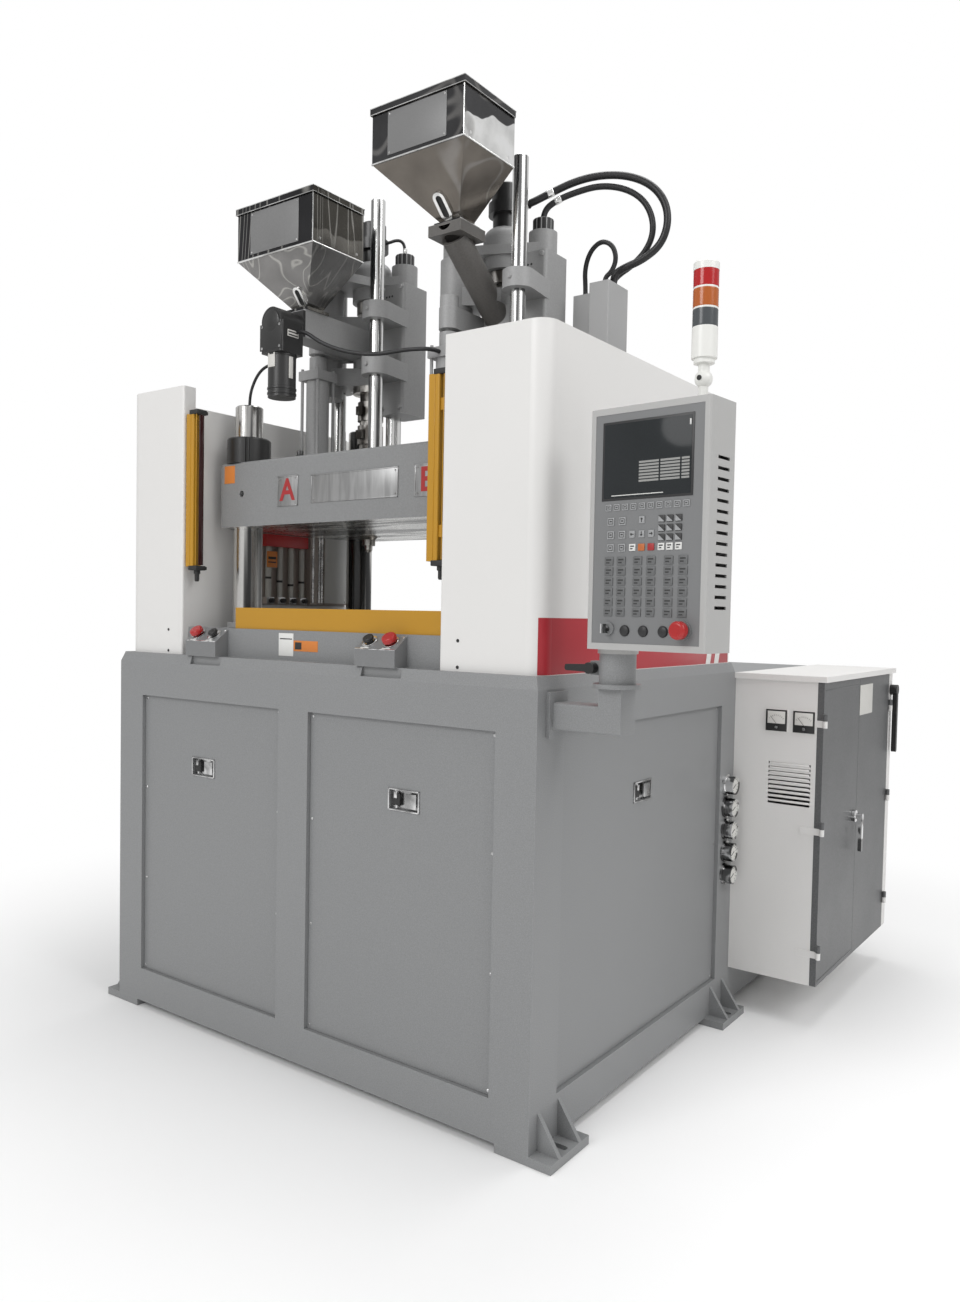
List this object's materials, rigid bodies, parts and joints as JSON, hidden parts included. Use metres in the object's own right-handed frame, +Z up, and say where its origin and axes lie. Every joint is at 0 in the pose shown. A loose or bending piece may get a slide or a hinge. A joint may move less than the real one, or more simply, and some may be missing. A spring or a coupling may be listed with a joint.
{
  "type": "injection moulding machine",
  "caption": "Vertical injection moulding machine: welded base, tie-bar clamp over a rotary table, injection units with hoppers, covers, control panel and cabinet.",
  "frame": {"origin": "on the floor, in the middle of the base's four feet", "axes": "+X to the operator's right, +Y to the back, +Z up"},
  "size_m": [2.0767, 2.0675, 2.673],
  "materials": {
    "base_grey": "fine textured paint",
    "cast_grey": "painted casting",
    "platen_grey": "painted casting, ground underside",
    "cover_white": "satin paint",
    "yellow": "satin paint",
    "box_dark": "satin paint",
    "housing_grey": "fine textured paint",
    "cabinet_white": "satin paint",
    "door_grey": "textured paint",
    "chrome": "polished",
    "steel": "ground",
    "black_steel": "satin black",
    "stainless": "polished sheet",
    "chute_brown": "dark cast",
    "meter_plastic": "clear and brown plastic",
    "black_plastic": "satin",
    "red_plastic": "gloss",
    "hmi_grey": "fine textured paint",
    "tower_white": "gloss",
    "hose_black": "rubber"
  },
  "bodies": {
    "base": {"base_frame": "base_grey", "base_feet": "base_grey", "base_panels": "base_grey", "fixed_platen": "cast_grey", "clamp_cylinder": "cast_grey", "side_covers": "cover_white", "light_curtains": "yellow", "guard_bar": "yellow", "button_boxes": "box_dark", "rear_housing": "housing_grey", "cabinet_body": "cabinet_white", "gauges": "chrome", "hmi_arm": "base_grey", "flow_meters": "meter_plastic"},
    "door_front": {"cabinet_door_front": "door_grey"},
    "door_rear": {"cabinet_door_rear": "door_grey"},
    "door_handle": {"door_handle": "chrome"},
    "main_switch": {"main_switch": "black_plastic"},
    "clamp_lever": {"clamp_lever": "black_plastic"},
    "hmi": {"hmi_box": "hmi_grey", "hmi_panel": "hmi_grey", "tower_light": "tower_white"},
    "hmi_estop": {"hmi_estop": "red_plastic"},
    "hmi_key": {"hmi_key": "chrome"},
    "start_left": {"start_button_left": "black_plastic"},
    "stop_left": {"stop_button_left": "red_plastic"},
    "start_right": {"start_button_right": "black_plastic"},
    "stop_right": {"stop_button_right": "red_plastic"},
    "table": {"rotary_table": "steel"},
    "clamp": {"moving_platen": "platen_grey", "tie_bars": "chrome", "guide_rods": "chrome", "tie_nuts": "black_steel", "lower_crosshead": "cast_grey", "lift_cylinders": "cast_grey", "terminal_box": "cabinet_white", "hose_b_loop": "hose_black"},
    "carriage_a": {"carriage_a": "cast_grey", "feeder_a": "cast_grey", "barrel_a": "steel", "hopper_a": "stainless", "gear_motor_a": "black_steel", "cable_a_motor": "hose_black", "cable_a_droop": "hose_black"},
    "lid_a": {"hopper_lid_a": "stainless"},
    "auger_a": {"feed_auger_a": "steel"},
    "ram_a": {"ram_head_a": "cast_grey", "screw_motor_a": "black_steel", "hose_a_loop": "hose_black"},
    "screw_a": {"screw_a": "steel"},
    "carriage_b": {"carriage_b": "cast_grey", "chute_b": "chute_brown", "barrel_b": "steel", "hopper_b": "stainless"},
    "lid_b": {"hopper_lid_b": "stainless"},
    "ram_b": {"ram_head_b": "cast_grey", "screw_motor_b": "black_steel", "hose_b_outer": "hose_black", "hose_b_inner": "hose_black"},
    "screw_b": {"screw_b": "steel"}
  },
  "joints": [
    {"name": "clamp_stroke", "type": "slide", "parent": "base", "child": "clamp", "axis": [0, 0, 1], "range_m": [-0.15, 0]},
    {"name": "table_turn", "type": "hinge", "parent": "base", "child": "table", "pos_m": [0, 0, 1.23], "axis": [0, 0, 1], "range_deg": [0, 180]},
    {"name": "carriage_lift_a", "type": "slide", "parent": "clamp", "child": "carriage_a", "axis": [0, 0, 1], "range_m": [0, 0.08]},
    {"name": "injection_stroke_a", "type": "slide", "parent": "carriage_a", "child": "ram_a", "axis": [0, 0, 1], "range_m": [0, 0.12]},
    {"name": "screw_turn_a", "type": "hinge", "parent": "ram_a", "child": "screw_a", "pos_m": [-0.27, 0, 2], "axis": [0, 0, 1], "continuous": true},
    {"name": "carriage_lift_b", "type": "slide", "parent": "clamp", "child": "carriage_b", "axis": [0, 0, 1], "range_m": [0, 0.08]},
    {"name": "injection_stroke_b", "type": "slide", "parent": "carriage_b", "child": "ram_b", "axis": [0, 0, 1], "range_m": [0, 0.12]},
    {"name": "screw_turn_b", "type": "hinge", "parent": "ram_b", "child": "screw_b", "pos_m": [0.27, 0, 2], "axis": [0, 0, 1], "continuous": true},
    {"name": "auger_turn", "type": "hinge", "parent": "carriage_a", "child": "auger_a", "pos_m": [-0.27, -0.2, 2.1575], "axis": [0, 1, 0], "continuous": true},
    {"name": "hopper_lid_a_swing", "type": "hinge", "parent": "carriage_a", "child": "lid_a", "pos_m": [-0.27, -0.2165, 2.511], "axis": [-1, 0, 0], "range_deg": [0, 90]},
    {"name": "hopper_lid_b_swing", "type": "hinge", "parent": "carriage_b", "child": "lid_b", "pos_m": [0.27, -0.187, 2.668], "axis": [-1, 0, 0], "range_deg": [0, 100]},
    {"name": "panel_swivel", "type": "hinge", "parent": "base", "child": "hmi", "pos_m": [0.957, -0.505, 1.2], "axis": [0, 0, 1], "range_deg": [-45, 90]},
    {"name": "clamp_lever_turn", "type": "hinge", "parent": "base", "child": "clamp_lever", "pos_m": [0.9015, -0.521, 1.161], "axis": [0, -1, 0], "range_deg": [0, 60]},
    {"name": "panel_stop_push", "type": "slide", "parent": "hmi", "child": "hmi_estop", "axis": [0.0872, 0.9962, 0], "range_m": [0, 0.006]},
    {"name": "panel_key_turn", "type": "hinge", "parent": "hmi", "child": "hmi_key", "pos_m": [0.97247, -0.58064, 1.252], "axis": [0.0872, 0.9962, 0], "range_deg": [0, 90]},
    {"name": "cabinet_door_front_swing", "type": "hinge", "parent": "base", "child": "door_front", "pos_m": [1.092, 0.593, 0.6], "axis": [0, 0, -1], "range_deg": [0, 110]},
    {"name": "cabinet_door_rear_swing", "type": "hinge", "parent": "base", "child": "door_rear", "pos_m": [1.092, 1.385, 0.6], "axis": [0, 0, 1], "range_deg": [0, 110]},
    {"name": "door_handle_turn", "type": "hinge", "parent": "door_front", "child": "door_handle", "pos_m": [1.09, 0.952, 0.62], "axis": [-1, 0, 0], "range_deg": [0, 90]},
    {"name": "main_switch_turn", "type": "hinge", "parent": "base", "child": "main_switch", "pos_m": [1.09, 1.408, 1.025], "axis": [1, 0, 0], "range_deg": [0, 90]},
    {"name": "start_left_press", "type": "slide", "parent": "base", "child": "start_left", "axis": [0, 0.6026, -0.798], "range_m": [0, 0.005], "stiffness_N_per_m": 500},
    {"name": "stop_left_press", "type": "slide", "parent": "base", "child": "stop_left", "axis": [0, 0.6026, -0.798], "range_m": [0, 0.005]},
    {"name": "start_right_press", "type": "slide", "parent": "base", "child": "start_right", "axis": [0, 0.6026, -0.798], "range_m": [0, 0.005], "stiffness_N_per_m": 500},
    {"name": "stop_right_press", "type": "slide", "parent": "base", "child": "stop_right", "axis": [0, 0.6026, -0.798], "range_m": [0, 0.005]}
  ]
}
